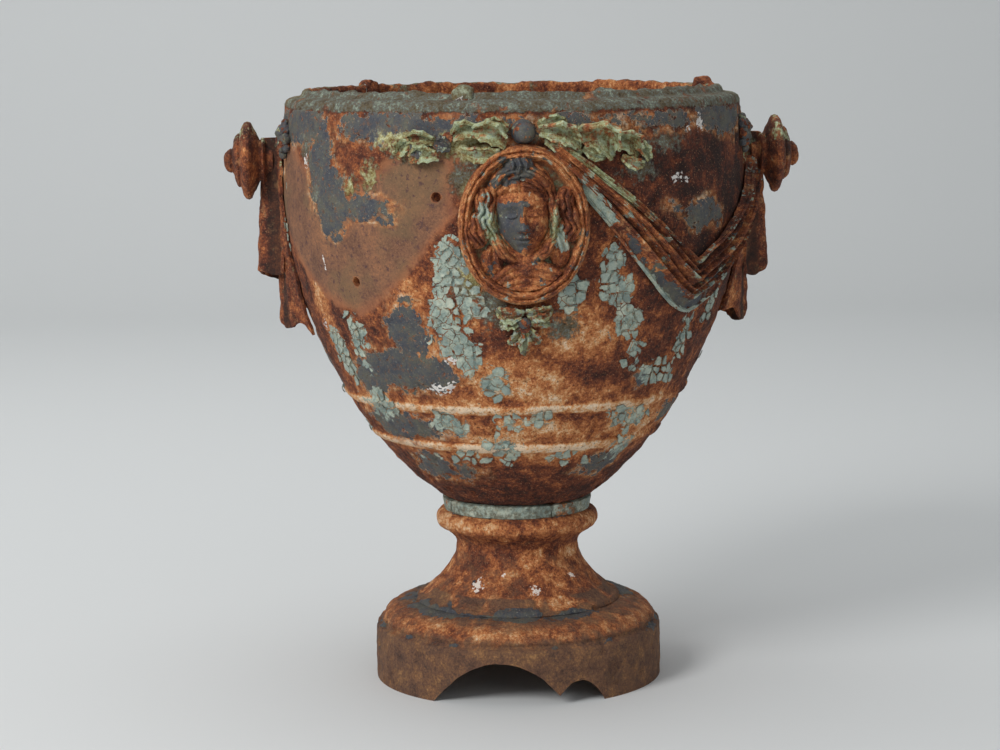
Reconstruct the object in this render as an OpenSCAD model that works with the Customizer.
// Cast-iron garden urn: a two-handled bowl on a turned foot, with bolted-on ornament.
// Floor at z = 0, axis of the urn on Z, front of the urn towards -Y.

/* [Foot] */
// Height of the foot, from the floor to its top face
foot_h = 185; // [160:1:230]
// Diameter of the skirt that stands on the floor
skirt_d = 312; // [270:1:380]
// Height of the skirt
skirt_h = 60; // [52:1:64]
// Wall thickness of the foot casting
foot_wall = 8; // [6:0.5:10]
// Diameter of the cushion moulding where it leaves the skirt
cushion_d = 296; // [256:1:304]
// Height of the cushion moulding
cushion_h = 24; // [18:1:26]
// Diameter of the step above the cushion
step_d = 220; // [180:1:240]
// Height of the top of the step
step_top = 90; // [88:1:96]
// Diameter of the dished part at the step
dish_d = 210; // [170:1:216]
// Height of the narrowest part of the neck
neck_z = 146; // [125:1:150]
// Diameter of the narrowest part of the neck
neck_d = 132; // [120:1:150]
// Diameter of the round moulding at the top of the foot
torus_d = 177; // [165:1:200]
// Height of that round moulding
torus_h = 22; // [18:1:24]
// Thickness of the web that closes the top of the foot
web_t = 10; // [8:1:14]

/* [Foot arches] */
// Distance of the large arch's middle from the urn's centre line
arch_large_x = -26; // [-40:1:-10]
// Half width of the large arch
arch_large_half = 70; // [50:1:80]
// Height of the large arch's crown
arch_large_h = 46; // [30:1:48]
// Distance of the small arch's middle from the urn's centre line
arch_small_x = 58; // [45:1:65]
// Half width of the small arch
arch_small_half = 27; // [20:1:32]
// Height of the small arch's crown
arch_small_h = 25; // [15:1:40]

/* [Collar] */
// Height of the packing ring between the foot and the bowl
collar_h = 14; // [8:1:20]
// Outside diameter of the packing ring
collar_d = 159; // [140:1:164]
// Inside diameter of the packing ring
collar_bore_d = 110; // [60:1:124]
// Number of segments in the packing ring
collar_parts = 4; // [2:1:8]

/* [Bowl] */
// Widest outside diameter of the bowl
bowl_d = 495; // [410:1:600]
// Height of the widest part above the bowl's seat
belly_h = 333; // [278:1:400]
// Height of the shoulder above the bowl's seat
shoulder_h = 427; // [420:1:520]
// How far the wall draws in between the belly and the shoulder
shoulder_in = 4; // [0:0.5:8]
// Outside diameter of the bowl at its seat
seat_d = 155; // [140:1:164]
// Fullness of the bowl's curve, where 2 is an ellipse
bowl_full = 1.7; // [1.5:0.05:2]
// Wall thickness of the bowl casting
bowl_wall = 8; // [6:0.5:10]
// Thickness of the bowl's floor
bowl_floor = 12; // [10:1:16]
// Height of the two raised beads above the bowl's seat
bead_h = [75, 119];
// Radius of each bead's section
bead_r = 6.5; // [4:0.5:8]
// How far each bead stands out of the wall
bead_out = 3.5; // [2:0.5:5]

/* [Rim] */
// Distance from the shoulder's edge in to the upstand ring
ledge_w = 19; // [12:1:24]
// Height of the upstand's top above the shoulder
upstand_h = 16; // [12:1:24]
// Thickness of the upstand ring
upstand_t = 9; // [7:0.5:14]
// Number of cast lugs on the rim
lug_count = 3; // [3:1:6]
// Azimuth of the first lug, counted from the front towards +X
lug_az = -15; // [-30:1:30]
// Radius of a lug's round top
lug_r = 11; // [8:1:14]
// Distance a lug stands out of the upstand's outside; its inner face is flush with the ring's
lug_proud = 4; // [2:0.5:8]
// Height of a lug above the upstand
lug_rise = 7; // [4:0.5:9]

/* [Fixings] */
// Radius of a large ornament screw's shank
screw_r = 4.7; // [4:0.1:4.8]
// Radius of the holes for the large screws
screw_hole_r = 5; // [4.9:0.1:6]
// Radius of a small ornament screw's shank
pin_r = 3.1; // [2.5:0.1:3.3]
// Radius of the holes for the small screws
pin_hole_r = 3.4; // [3.4:0.1:4]
// Height of the cast bosses that the nuts bear on
boss_h = 4; // [4:0.5:8]
// Radius of the tie bolt's shank
tie_r = 9.5; // [8:0.5:10]
// Radius of the tie bolt's holes
tie_hole_r = 10.5; // [10.5:0.5:13]
// Radius of the knob studs
stud_r = 6; // [5:0.5:6.5]
// Radius of the stud holes through the wall and the drapery tails
stud_hole_r = 6.6; // [6.6:0.1:8]

/* [Medallions] */
// Height of a medallion's centre above the bowl's seat
medallion_h = 313; // [300:1:330]
// Width of a medallion
medallion_w = 131; // [110:1:150]
// Height of a medallion's oval
medallion_l = 160; // [140:1:170]
// Azimuth of a medallion's two screws from its middle
medallion_screw_az = 10.5; // [9:0.5:11]
// Thickness of a medallion's plate
medallion_t = 10; // [8:1:14]
// Height of a medallion's raised rim above its plate
medallion_rim = 6; // [3:0.5:10]
// Width of the head on a medallion
head_w = 62; // [50:1:76]
// Height of the head on a medallion
head_l = 92; // [76:1:104]

/* [Swags and tails] */
// Azimuth of a swag's lowest point
swag_az = 47.5; // [44:0.5:50]
// Half of the angle that a swag spans
swag_half = 41; // [36:0.5:42]
// Thickness of a swag
swag_t = 9; // [8:0.5:14]
// Heights of a swag's upper edge above the seat: at the medallion, the middle, the knob
swag_top_h = [396, 269, 372];
// Heights of a swag's hem above the seat: at the medallion, the middle, the knob
swag_hem_h = [380, 214, 322];
// Azimuths of the two screws of a swag
swag_screw_az = [20.5, 45.5];
// Heights of the two screws of a swag above the seat
swag_screw_h = [341, 252];
// Width of a tail under its knob
tail_top_w = 50; // [44:1:60]
// Width of a tail at its hem
tail_hem_w = 94; // [70:1:110]
// How far a tail's outer fold stands beyond the belly
tail_out = 30; // [24:1:40]
// How far a tail's inner fold stands beyond the belly
tail_in = 6; // [2:1:12]
// Height of the outer fold's hem above the seat
tail_hem_out = 241; // [220:1:260]
// Height of the inner fold's hem above the seat
tail_hem_in = 189; // [170:1:210]
// Thickness of a tail where its knob clamps it
tail_tab = 9; // [7:0.5:12]

/* [Knobs] */
// Height of the knobs above the bowl's seat
knob_h = 368; // [355:1:380]
// Diameter of a knob's disc
knob_d = 83; // [70:1:90]
// Diameter of a knob's shank
shank_d = 32; // [28:1:40]
// Length of a knob's shank
shank_l = 12; // [10:1:20]
// Thickness of a knob's disc
knob_t = 32; // [26:1:38]
// Diameter of a knob's nub
nub_d = 43; // [30:1:50]
// Depth of the stud's hole in a knob
knob_bore = 30; // [22:1:36]

/* [Small ornaments] */
// Height of the ball-headed crown bolts above the bowl's seat
crown_h = 405; // [400:1:410]
// Radius of a crown bolt's ball
crown_r = 10; // [8:0.5:12]
// Azimuth of a leaf spray's middle
spray_az = 17; // [15:0.5:20]
// Height of a leaf spray's middle above the bowl's seat
spray_h = 400; // [396:1:404]
// Length of one leaf
leaf_l = 44; // [38:1:46]
// Width of one leaf
leaf_w = 32; // [26:1:36]
// Thickness of the leaf sprays
leaf_t = 8; // [6:0.5:12]
// Height of a pendant flower's middle above the bowl's seat
pendant_h = 210; // [204:1:216]
// Width of a pendant flower
pendant_w = 58; // [48:1:64]
// Thickness of a pendant flower
pendant_t = 10; // [8:0.5:14]
// Azimuth of the berry clusters
berry_az = 77; // [72:0.5:78]
// Height of the berry clusters above the bowl's seat
berry_h = 394; // [390:1:398]
// Radius of the largest berry
berry_r = 9; // [7:0.5:10]

/* [Hidden] */
$fn = 64;

seat_gap = 0.3;      // clearance between an ornament's back and the bowl
skirt_r = skirt_d / 2;
neck_r = neck_d / 2;
seat_r = seat_d / 2;
bowl_r = bowl_d / 2;
seat_z = foot_h + collar_h;
belly_z = seat_z + belly_h;
shoulder_z = seat_z + shoulder_h;
shoulder_r = bowl_r - shoulder_in;
upstand_r = shoulder_r - ledge_w;
upstand_top = shoulder_z + upstand_h;
knob_z = seat_z + knob_h;
foot_top_in = foot_h - web_t;
bowl_floor_z = seat_z + bowl_floor;

tie_washer_t = 6;
tie_washer_r = 30;
tie_head_r = 17;
tie_head_t = 13;
tie_nut_t = 15;
head_r = 8;          // large screw heads
head_t = 5;
nut_r = 9.2;
nut_t = 8;
pin_head_r = 5.4;    // small screw heads
pin_head_t = 3.5;
pin_nut_r = 6.4;
pin_nut_t = 5;
end_l = 3;           // thread that stands out of a nut
knob_washer_t = 3;
knob_nut_t = 9;

// Drop of the bowl's curve from the belly, worked back from its radius at the seat
curve_drop = belly_h / pow(1 - pow(seat_r / bowl_r, bowl_full), 1 / bowl_full);

// Outside radius of the bowl at height z
function wall_r(z) = z < belly_z
    ? bowl_r * pow(1 - pow((belly_z - z) / curve_drop, bowl_full), 1 / bowl_full)
    : bowl_r - shoulder_in * pow((z - belly_z) / (shoulder_z - belly_z), 2);
function wall_slope(z) = (wall_r(z + 0.5) - wall_r(z - 0.5));
function spread(z) = sqrt(1 + pow(wall_slope(z), 2));
// Point of the bowl's inside, square through the wall from height z
function inside(z) = [wall_r(z) - bowl_wall / spread(z), z + bowl_wall * wall_slope(z) / spread(z)];
function heights(z0, z1, n) = [for (i = [0:n]) z0 + (z1 - z0) * i / n];
function reversed(list) = [for (i = [len(list) - 1:-1:0]) list[i]];
function arc(cx, cz, a, b, a0, a1, n) =
    [for (i = [0:n]) let (t = a0 + (a1 - a0) * i / n) [cx + a * cos(t), cz + b * sin(t)]];
function mix(a, b, t) = a + (b - a) * t;

// Draws its children at an azimuth and a height: x to the right, y up, z out of the axis
module at(az, z) {
    rotate([0, 0, az])
        translate([0, 0, z])
            rotate([90, 0, 0])
                children();
}

// Solid of the bowl's outside between two heights, grown by extra
module core(z0, z1, extra, n = 12) {
    zs = heights(z0, z1, n);
    rotate_extrude($fn = 120)
        polygon(concat([[0, z0]], [for (z = zs) [wall_r(z) + extra, z]], [[0, z1]]));
}

// Ring of even thickness that lies on the bowl between two heights
module skin(z0, z1, t, n = 12) {
    zs = heights(z0, z1, n);
    rotate_extrude($fn = 120)
        polygon(concat(
            [for (z = zs) [wall_r(z) + seat_gap, z]],
            reversed([for (z = zs) [wall_r(z) + seat_gap + t, z]])));
}

// ---------- foot ----------

function dish_r(t) = mix(neck_r, dish_d / 2, pow(1 - t, 1.8));
function dish_z(t) = mix(step_top, neck_z, t);
function dish_slope(t) =
    -1.8 * (dish_d / 2 - neck_r) * pow(1 - t, 0.8) / (neck_z - step_top);
function dish_in(t) = let (s = sqrt(1 + pow(dish_slope(t), 2)))
    [dish_r(t) - foot_wall / s, dish_z(t) + foot_wall * dish_slope(t) / s];

module foot_blank() {
    cushion_r = cushion_d / 2;
    step_r = step_d / 2;
    torus_in = torus_d / 2 - torus_h / 2;
    torus_z = foot_h - torus_h / 2;
    throat_z = foot_h - torus_h;
    ts = [for (i = [0:7]) i / 7];
    outer = concat(
        [[skirt_r, 0], [skirt_r, skirt_h - 2], [skirt_r - 2, skirt_h]],
        arc(step_r, skirt_h, cushion_r - step_r, cushion_h, 0, 90, 8),
        [[step_r, step_top - 2]],
        [for (t = ts) [dish_r(t), dish_z(t)]],
        [[mix(neck_r, torus_in, 0.5), mix(neck_z, throat_z, 0.6)]],
        arc(torus_in, torus_z, torus_h / 2, torus_h / 2, -90, 90, 12));
    inner = concat(
        [[torus_in - foot_wall, foot_top_in], [torus_in - foot_wall, throat_z]],
        [for (t = reversed(ts)) dish_in(t)],
        arc(step_r, skirt_h, cushion_r - step_r - foot_wall, cushion_h - foot_wall, 90, 0, 6),
        [[cushion_r - foot_wall, skirt_h - foot_wall],
         [skirt_r - foot_wall, skirt_h - foot_wall],
         [skirt_r - foot_wall, 0]]);
    rotate_extrude($fn = 120)
        polygon(concat(outer, [[tie_hole_r, foot_h], [tie_hole_r, foot_top_in]], inner));
}

// One arched opening through the skirt, with a flat crown
module arch(x, half, h) {
    outline = [for (i = [-12:12]) let (t = i / 12)
        [x + half * t, max(h * sqrt(1 - pow(abs(t), 2.4)), -1)]];
    depth = 80;
    translate([0, depth - skirt_r - 1, 0])
        rotate([90, 0, 0])
            linear_extrude(height = depth)
                polygon(concat(outline, [[x + half, -5], [x - half, -5]]));
}

module foot() {
    color("#7a5138")
        difference() {
            foot_blank();
            for (side = [0, 180])
                rotate([0, 0, side]) {
                    arch(arch_large_x, arch_large_half, arch_large_h);
                    arch(arch_small_x, arch_small_half, arch_small_h);
                }
        }
}

module collar_ring() {
    split = 1.6;
    color("#9fb2a2")
        translate([0, 0, foot_h])
            difference() {
                cylinder(h = collar_h, d = collar_d, $fn = 120);
                translate([0, 0, -1])
                    cylinder(h = collar_h + 2, d = collar_bore_d, $fn = 120);
                for (i = [0:collar_parts - 1])
                    rotate([0, 0, 25 + 360 * i / collar_parts])
                        translate([0, -split / 2, -1])
                            cube([collar_d, split, collar_h + 2]);
            }
}

// ---------- bowl ----------

// Every place where something goes through the bowl's wall: azimuth, height, hole, boss
function quads(az) = [az, 180 - az, az - 180, -az];
LARGE_SITES = concat(
    [for (a = quads(medallion_screw_az)) [a, seat_z + medallion_h]],
    [for (i = [0, 1], a = quads(swag_screw_az[i])) [a, seat_z + swag_screw_h[i]]]);
SMALL_SITES = concat(
    [for (a = [0, 180]) [a, seat_z + crown_h]],
    [for (a = [0, 180]) [a, seat_z + pendant_h]],
    [for (a = quads(spray_az)) [a, seat_z + spray_h]],
    [for (a = quads(berry_az)) [a, seat_z + berry_h]]);
KNOB_SITES = [[90, knob_z], [-90, knob_z]];
function nut_seat(z) = wall_r(z) - bowl_wall - boss_h;

module bosses(sites, r) {
    for (s = sites)
        at(s[0], s[1])
            translate([0, 0, nut_seat(s[1])])
                cylinder(h = boss_h + bowl_wall / 2, r = r, $fn = 32);
}

module holes(sites, r) {
    for (s = sites)
        at(s[0], s[1])
            translate([0, 0, nut_seat(s[1]) - 5])
                cylinder(h = bowl_wall + boss_h + 12, r = r, $fn = 32);
}

module bowl_blank() {
    flange = 7;
    zs = heights(seat_z, belly_z, 18);
    zs_up = heights(belly_z, shoulder_z, 4);
    outer = concat(
        [for (z = zs) [wall_r(z), z]],
        [for (i = [1:4]) [wall_r(zs_up[i]), zs_up[i]]],
        arc(shoulder_r - 5, shoulder_z, 5, 5, 10, 80, 4),
        [[upstand_r + 1, shoulder_z + 6], [upstand_r, upstand_top - 2],
         [upstand_r - 2, upstand_top]]);
    wall_in = [for (z = concat(zs, [zs_up[1], zs_up[2], zs_up[3]])) inside(z)];
    inner = concat(
        [[upstand_r - upstand_t, upstand_top],
         [upstand_r - upstand_t, shoulder_z - flange],
         [shoulder_r - bowl_wall - 2, shoulder_z - flange - 4]],
        [for (p = reversed(wall_in)) if (p[1] > bowl_floor_z + 1) p],
        [[seat_r - 2, bowl_floor_z]]);
    rotate_extrude($fn = 120)
        polygon(concat(outer, inner, [[tie_hole_r, bowl_floor_z], [tie_hole_r, seat_z]]));
    for (h = bead_h)
        rotate_extrude($fn = 120)
            translate([wall_r(seat_z + h) + bead_out - bead_r, seat_z + h])
                circle(r = bead_r, $fn = 32);
}

module lug() {
    depth = upstand_t + lug_proud;
    translate([0, upstand_top + lug_rise - lug_r, upstand_r + lug_proud - depth])
        cylinder(h = depth, r = lug_r, $fn = 32);
}

module bowl() {
    color("#a8683c")
        difference() {
            union() {
                bowl_blank();
                for (i = [0:lug_count - 1])
                    at(lug_az + 360 * i / lug_count, 0)
                        lug();
                bosses(LARGE_SITES, nut_r + 3);
                bosses(SMALL_SITES, pin_nut_r + 3);
                bosses(KNOB_SITES, 21);
            }
            holes(LARGE_SITES, screw_hole_r);
            holes(SMALL_SITES, pin_hole_r);
            holes(KNOB_SITES, stud_hole_r);
        }
}

// ---------- tie bolt ----------

module tie_bolt() {
    top = bowl_floor_z + tie_washer_t;
    bottom = foot_top_in - tie_washer_t - tie_nut_t - end_l;
    color("#5d4436") {
        translate([0, 0, bottom])
            cylinder(h = top - bottom, r = tie_r);
        translate([0, 0, top])
            cylinder(h = tie_head_t, r = tie_head_r, $fn = 6);
    }
}

module washer(z, t, r, bore) {
    color("#6b4a38")
        translate([0, 0, z])
            difference() {
                cylinder(h = t, r = r);
                translate([0, 0, -1])
                    cylinder(h = t + 2, r = bore);
            }
}

module tie_washer_top() washer(bowl_floor_z, tie_washer_t, tie_washer_r, tie_hole_r);
module tie_washer_bottom() washer(foot_top_in - tie_washer_t, tie_washer_t, tie_washer_r, tie_hole_r);

module hex_nut(t, r, bore) {
    difference() {
        cylinder(h = t, r = r, $fn = 6);
        translate([0, 0, -1])
            cylinder(h = t + 2, r = bore);
    }
}

module tie_nut() {
    color("#6b4a38")
        translate([0, 0, foot_top_in - tie_washer_t - tie_nut_t])
            hex_nut(tie_nut_t, tie_head_r, tie_r);
}

// ---------- screws and nuts of the ornaments ----------

// A screw through an ornament of thickness t at height z, its head sunk in a pocket
module screw(az, z, t, r, big_r, big_t, nut_l) {
    seat = wall_r(z) + seat_gap + t - big_t;
    tip = nut_seat(z) - nut_l - end_l;
    at(az, z) {
        translate([0, 0, tip])
            cylinder(h = seat - tip, r = r, $fn = 32);
        translate([0, 0, seat])
            cylinder(h = big_t, r = big_r, $fn = 32);
    }
}

// The hole and the pocket that the screw needs in its ornament
module pocket(az, z, t, hole, big_r, big_t) {
    seat = wall_r(z) + seat_gap + t - big_t;
    at(az, z) {
        translate([0, 0, nut_seat(z)])
            cylinder(h = seat - nut_seat(z) + 1, r = hole, $fn = 32);
        translate([0, 0, seat])
            cylinder(h = big_t + 60, r = big_r + 0.4, $fn = 32);
    }
}

module large_screw(az, z, t) screw(az, z, t, screw_r, head_r, head_t, nut_t);
module large_pocket(az, z, t) pocket(az, z, t, screw_hole_r, head_r, head_t);
module small_screw(az, z, t) screw(az, z, t, pin_r, pin_head_r, pin_head_t, pin_nut_t);
module small_pocket(az, z, t) pocket(az, z, t, pin_hole_r, pin_head_r, pin_head_t);

module nut_on(az, z, t, r, bore) {
    at(az, z)
        translate([0, 0, nut_seat(z) - t])
            hex_nut(t, r, bore);
}

module large_nut(az, z) nut_on(az, z, nut_t, nut_r, screw_r);
module small_nut(az, z) nut_on(az, z, pin_nut_t, pin_nut_r, pin_r);

// ---------- medallions ----------

function oval(w, l, n = 48) = [for (i = [0:n - 1]) [w / 2 * cos(360 * i / n), l / 2 * sin(360 * i / n)]];

module oval_bar(w, l) {
    linear_extrude(height = bowl_r + 90)
        polygon(oval(w, l));
}

// Lathe-turned egg, standing on its narrow end
module egg(w, l) {
    rotate_extrude($fn = 48)
        polygon(concat([[0, -l / 2]], arc(0, 0, w / 2, l / 2, -80, 80, 12), [[0, l / 2]]));
}

// Plain egg-shaped head with a roll of hair at each side
module head() {
    face_r = wall_r(seat_z + medallion_h) + medallion_t;
    lock_r = head_w / 7;
    translate([0, head_l * 0.04, face_r])
        rotate([-90, 0, 0]) {
            egg(head_w, head_l);
            for (side = [-1, 1])
                translate([side * (head_w / 2 - 1), 0, 0])
                    rotate([0, side * 8, 0])
                        cylinder(h = head_l * 0.62, r1 = lock_r * 0.8, r2 = lock_r, center = true);
        }
}

module medallion(az) {
    z = seat_z + medallion_h;
    z0 = z - medallion_l / 2 - 2;
    z1 = z + medallion_l / 2 + 2;
    rim_w = 9;
    color("#8a4a30")
        difference() {
            union() {
                intersection() {
                    core(z0, z1, seat_gap + medallion_t, 11);
                    at(az, z)
                        oval_bar(medallion_w, medallion_l);
                }
                intersection() {
                    core(z0, z1, seat_gap + medallion_t + medallion_rim, 11);
                    at(az, z)
                        difference() {
                            oval_bar(medallion_w - 2, medallion_l - 2);
                            oval_bar(medallion_w - 2 * rim_w, medallion_l - 2 * rim_w);
                        }
                }
                at(az, z)
                    head();
            }
            core(z0 - 10, z1 + 10, seat_gap, 12);
            for (side = [-1, 1])
                large_pocket(az + side * medallion_screw_az, z, medallion_t);
        }
}

// Room that the neighbours of a medallion leave round it
module medallion_room(az) {
    clear = 2;
    at(az, seat_z + medallion_h)
        oval_bar(medallion_w + 2 * clear, medallion_l + 2 * clear);
}

module medallion_front() medallion(0);
module medallion_back() medallion(180);

module medallion_screws() {
    color("#5d4436")
        for (a = quads(medallion_screw_az))
            large_screw(a, seat_z + medallion_h, medallion_t);
}

module medallion_nuts() {
    color("#6b4a38")
        for (a = quads(medallion_screw_az))
            large_nut(a, seat_z + medallion_h);
}

// ---------- crown bolts ----------

module crown_bolt(az) {
    z = seat_z + crown_h;
    tip = nut_seat(z) - pin_nut_t - end_l;
    base = wall_r(z) + seat_gap;
    color("#4e5560")
        at(az, z) {
            translate([0, 0, tip])
                cylinder(h = base + 2 - tip, r = pin_r, $fn = 32);
            translate([0, 0, base])
                cylinder(h = 6, r = crown_r * 0.8, $fn = 32);
            translate([0, 0, base + crown_r * 0.8])
                sphere(r = crown_r, $fn = 32);
        }
}

// The ball would reach into the wall, so its back is cut off square
module crown_bolt_seated(az) {
    z = seat_z + crown_h;
    difference() {
        crown_bolt(az);
        at(az, z)
            difference() {
                translate([0, 0, nut_seat(z)])
                    cylinder(h = wall_r(z) + seat_gap - nut_seat(z), r = crown_r + 2);
                translate([0, 0, nut_seat(z) - 1])
                    cylinder(h = wall_r(z) + 2 - nut_seat(z), r = pin_r, $fn = 32);
            }
    }
}

module crown_bolt_front() crown_bolt_seated(0);
module crown_bolt_back() crown_bolt_seated(180);

module crown_nuts() {
    color("#6b4a38")
        for (a = [0, 180])
            small_nut(a, seat_z + crown_h);
}

// ---------- leaf sprays ----------

// Outline of a spray of overlapping leaves, which lean outwards from its inner end
function spray_half(t) = leaf_w * (0.42 + 0.24 * abs(cos(270 * t + 20))) * (1 - 0.5 * pow(t, 4));
function spray_line(t) = 3 * sin(360 * t);

// A spray that runs from its inner end at -x; hand is 1 towards +X, -1 towards -X
module leaf_spray(az, hand) {
    z = seat_z + spray_h;
    ts = [for (i = [-12:12]) i / 12];
    half_l = leaf_l * 1.35;
    color("#a9a86c")
        difference() {
            intersection() {
                skin(z - leaf_w, min(z + leaf_w, shoulder_z - 1), leaf_t, 6);
                at(az, z)
                    linear_extrude(height = bowl_r + 60)
                        polygon(concat(
                            [for (t = ts) [hand * half_l * t, spray_line(t) + spray_half(t)]],
                            reversed([for (t = ts) [hand * half_l * t, spray_line(t) - spray_half(t + 0.2)]])));
            }
            small_pocket(az, z, leaf_t);
            medallion_room(abs(az) < 90 ? 0 : 180);
        }
}

module leaf_spray_front_right() leaf_spray(spray_az, 1);
module leaf_spray_front_left() leaf_spray(-spray_az, -1);
module leaf_spray_back_right() leaf_spray(180 - spray_az, -1);
module leaf_spray_back_left() leaf_spray(spray_az - 180, 1);

module leaf_screws() {
    color("#5d4436")
        for (a = quads(spray_az))
            small_screw(a, seat_z + spray_h, leaf_t);
}

module leaf_nuts() {
    color("#6b4a38")
        for (a = quads(spray_az))
            small_nut(a, seat_z + spray_h);
}

// ---------- pendants ----------

// Outline of an open flower with five petals, one of them hanging
function petal_r(a) = pendant_w / 2 * (0.62 + 0.38 * pow(abs(cos(2.5 * (a + 90))), 0.8));

module pendant(az) {
    z = seat_z + pendant_h;
    reach = pendant_w / 2 + 2;
    color("#9aa083")
        difference() {
            intersection() {
                skin(z - reach, z + reach, pendant_t, 5);
                at(az, z)
                    linear_extrude(height = bowl_r + 60)
                        polygon([for (i = [0:59]) let (a = 6 * i)
                            [petal_r(a) * cos(a), petal_r(a) * sin(a)]]);
            }
            small_pocket(az, z, pendant_t);
            medallion_room(az);
        }
}

module pendant_front() pendant(0);
module pendant_back() pendant(180);

module pendant_screws() {
    color("#5d4436")
        for (a = [0, 180])
            small_screw(a, seat_z + pendant_h, pendant_t);
}

module pendant_nuts() {
    color("#6b4a38")
        for (a = [0, 180])
            small_nut(a, seat_z + pendant_h);
}

// ---------- swags ----------

function swag_edge(ends, s, bend) =
    seat_z + ends[1] + ((s < 0 ? ends[0] : ends[2]) - ends[1]) * pow(abs(s), bend);
function swag_x(s) = bowl_r * sin(swag_half * s);
swag_z0 = seat_z + swag_hem_h[1] - 2;
swag_z1 = seat_z + swag_top_h[0] + 2;

// A swag from the medallion (s = -1) to the knob (s = 1), on the front right
module swag_blank() {
    ss = [for (i = [-8:8]) i / 8];
    intersection() {
        skin(swag_z0, swag_z1, swag_t, 10);
        at(swag_az, 0)
            linear_extrude(height = bowl_r + 60)
                polygon(concat(
                    [for (s = ss) [swag_x(s), swag_edge(swag_top_h, s, 1.1)]],
                    reversed([for (s = ss) [swag_x(s), swag_edge(swag_hem_h, s, 1.6)]])));
    }
}

// Room for the medallion, the leaf spray and the tail that a swag hangs between
module swag_room() {
    clear = 2;
    medallion_room(0);
    at(spray_az, seat_z + spray_h - leaf_w * 0.66 - 3 - clear)
        translate([-leaf_l * 1.4, 0, 0])
            cube([leaf_l * 2.8, 2 * leaf_w, bowl_r + 60]);
    at(90, knob_z - 100)
        translate([-tail_top_w / 2 - clear, 0, 0])
            cube([tail_top_w, 140, bowl_r + 60]);
}

module swag() {
    color("#7c4229")
        difference() {
            swag_blank();
            swag_room();
            for (i = [0, 1])
                large_pocket(swag_screw_az[i], seat_z + swag_screw_h[i], swag_t);
        }
}

module swag_front_right() swag();
module swag_back_right() mirror([0, 1, 0]) swag();
module swag_back_left() rotate([0, 0, 180]) swag();

// The front left swag is lost, so its two holes stay open
function swag_fitted(az) = [az, 180 - az, az - 180];

module swag_screws() {
    color("#5d4436")
        for (i = [0, 1], a = swag_fitted(swag_screw_az[i]))
            large_screw(a, seat_z + swag_screw_h[i], swag_t);
}

module swag_nuts() {
    color("#6b4a38")
        for (i = [0, 1], a = swag_fitted(swag_screw_az[i]))
            large_nut(a, seat_z + swag_screw_h[i]);
}

// ---------- tails ----------

tail_face = wall_r(knob_z) + seat_gap + tail_tab;

// Side view of the folds: outwards along x, up along y
module tail_side() {
    top = knob_z + shank_d / 2 + 4;
    under_knob = knob_z - knob_d / 2 - 3;
    hem_out = seat_z + tail_hem_out;
    hem_in = seat_z + tail_hem_in;
    reach = bowl_r + tail_out;
    reach_in = bowl_r + tail_in;
    polygon([
        [0, top], [tail_face, top], [tail_face, knob_z - shank_d / 2 - 3],
        [tail_face + 9, under_knob], [reach, hem_out + 12], [reach, hem_out],
        [reach - 4, hem_out - 3], [reach_in + 4, hem_out + 6], [reach_in, hem_out + 2],
        [reach_in, hem_in + 3], [reach_in - 6, hem_in], [0, hem_in + 6]]);
}

// Front view of the folds, with a stepped hem
module tail_front() {
    top = knob_z + shank_d / 2 + 4;
    half = tail_hem_w / 2;
    neck = tail_top_w / 2 - 3;
    widen = knob_z - knob_d / 2 - 12;
    hem = seat_z + tail_hem_in;
    polygon([
        [-neck, top], [neck, top], [neck, knob_z - 20], [half * 0.85, widen - 25],
        [half, hem + 70], [half * 0.7, hem + 58], [half * 0.55, hem + 24], [half * 0.3, hem - 1],
        [-half * 0.3, hem - 1], [-half * 0.55, hem + 24], [-half * 0.7, hem + 58],
        [-half, hem + 70], [-half * 0.85, widen - 25], [-neck, knob_z - 20]]);
}

module tail(az) {
    hem = seat_z + tail_hem_in;
    wide = tail_hem_w + 10;
    color("#6e3324")
        difference() {
            intersection() {
                rotate([0, 0, az - 90])
                    translate([0, wide / 2, 0])
                        rotate([90, 0, 0])
                            linear_extrude(height = wide)
                                tail_side();
                at(az, 0)
                    linear_extrude(height = bowl_r + 100)
                        tail_front();
            }
            core(hem - 20, knob_z + 40, seat_gap);
            // the folds pass over the ends of the swags
            difference() {
                core(swag_z0, knob_z + 40, seat_gap + swag_t + 2);
                at(az, 0)
                    translate([-tail_top_w / 2 + 3, 0, 0])
                        cube([tail_top_w - 6, knob_z + 60, bowl_r + 100]);
            }
            at(az, knob_z)
                translate([0, 0, bowl_r - 60])
                    cylinder(h = 120, r = stud_hole_r, $fn = 32);
        }
}

module tail_right() tail(90);
module tail_left() tail(-90);

// ---------- knobs ----------

module knob(az) {
    disc_r = knob_d / 2;
    nub_l = 9;
    length = shank_l + knob_t + nub_l;
    mid = shank_l + knob_t / 2;
    profile = [
        [0, 0], [shank_d / 2, 0], [shank_d / 2, shank_l - 2],
        [disc_r * 0.72, shank_l + 1], [disc_r * 0.76, mid - 6], [disc_r - 2, mid - 5],
        [disc_r, mid - 1], [disc_r, mid + 3], [disc_r - 2, mid + 6],
        [disc_r * 0.72, mid + 9], [disc_r * 0.6, shank_l + knob_t - 2],
        [nub_d / 2, shank_l + knob_t], [nub_d / 2, length - 4], [nub_d / 2 - 8, length],
        [0, length]];
    color("#6a3d2c")
        at(az, knob_z)
            translate([0, 0, tail_face])
                difference() {
                    rotate_extrude()
                        polygon(profile);
                    translate([0, 0, -1])
                        cylinder(h = knob_bore + 1, r = stud_r, $fn = 32);
                }
}

module knob_right() knob(90);
module knob_left() knob(-90);

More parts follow.
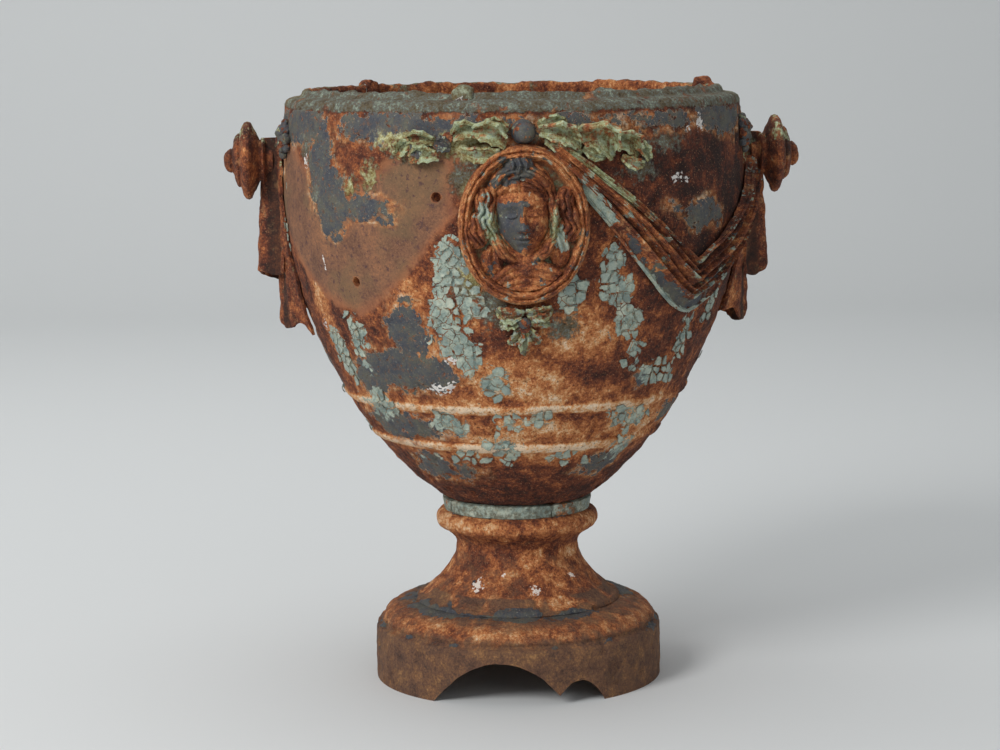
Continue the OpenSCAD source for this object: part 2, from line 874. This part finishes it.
module knob_stud(az) {
    tip = nut_seat(knob_z) - knob_washer_t - knob_nut_t - end_l;
    color("#5d4436")
        at(az, knob_z)
            translate([0, 0, tip])
                cylinder(h = tail_face + knob_bore - 2 - tip, r = stud_r, $fn = 32);
}

module knob_stud_right() knob_stud(90);
module knob_stud_left() knob_stud(-90);

module knob_washer(az) {
    at(az, knob_z)
        washer(nut_seat(knob_z) - knob_washer_t, knob_washer_t, 17, stud_hole_r);
}

module knob_washer_right() knob_washer(90);
module knob_washer_left() knob_washer(-90);

module knob_nut(az) {
    color("#6b4a38")
        at(az, knob_z)
            translate([0, 0, nut_seat(knob_z) - knob_washer_t - knob_nut_t])
                hex_nut(knob_nut_t, 11, stud_r);
}

module knob_nut_right() knob_nut(90);
module knob_nut_left() knob_nut(-90);

// ---------- berry clusters ----------

// Berries as x, y and a share of the largest berry's radius
BERRIES = [[-1, 1, 1], [-14, 6, 0.9], [-9, -10, 0.75], [12, -6, 0.8], [8, 10, 0.65]];
berry_base_t = 4;

// A berry with a faceted round top, standing on the cluster's base
module berry(r) {
    rotate_extrude($fn = 32)
        polygon([[0, -8], [r, -8], [r, r * 0.25], [r * 0.8, r * 0.65], [r * 0.4, r * 0.95], [0, r]]);
}

module berries() {
    z = seat_z + berry_h;
    base_r = 15.5;
    color("#6b7078")
        difference() {
            at(-berry_az, z) {
                translate([0, 0, wall_r(z) - 8])
                    cylinder(h = 8 + berry_base_t, r = base_r);
                for (b = BERRIES)
                    translate([b[0], b[1], wall_r(z) + berry_base_t - b[0] * b[0] / (2 * bowl_r)])
                        berry(berry_r * b[2]);
            }
            core(z - 40, min(z + 40, shoulder_z), seat_gap, 4);
            small_pocket(-berry_az, z, berry_base_t);
        }
}

module berries_front_left() berries();
module berries_front_right() mirror([1, 0, 0]) berries();
module berries_back_left() mirror([0, 1, 0]) berries();
module berries_back_right() rotate([0, 0, 180]) berries();

module berry_screws() {
    color("#5d4436")
        for (a = quads(berry_az))
            small_screw(a, seat_z + berry_h, berry_base_t);
}

module berry_nuts() {
    color("#6b4a38")
        for (a = quads(berry_az))
            small_nut(a, seat_z + berry_h);
}

foot();
collar_ring();
bowl();
tie_bolt();
tie_washer_top();
tie_washer_bottom();
tie_nut();
medallion_front();
medallion_back();
medallion_screws();
medallion_nuts();
crown_bolt_front();
crown_bolt_back();
crown_nuts();
leaf_spray_front_right();
leaf_spray_front_left();
leaf_spray_back_right();
leaf_spray_back_left();
leaf_screws();
leaf_nuts();
pendant_front();
pendant_back();
pendant_screws();
pendant_nuts();
swag_front_right();
swag_back_right();
swag_back_left();
swag_screws();
swag_nuts();
tail_right();
tail_left();
knob_right();
knob_left();
knob_stud_right();
knob_stud_left();
knob_washer_right();
knob_washer_left();
knob_nut_right();
knob_nut_left();
berries_front_right();
berries_front_left();
berries_back_right();
berries_back_left();
berry_screws();
berry_nuts();
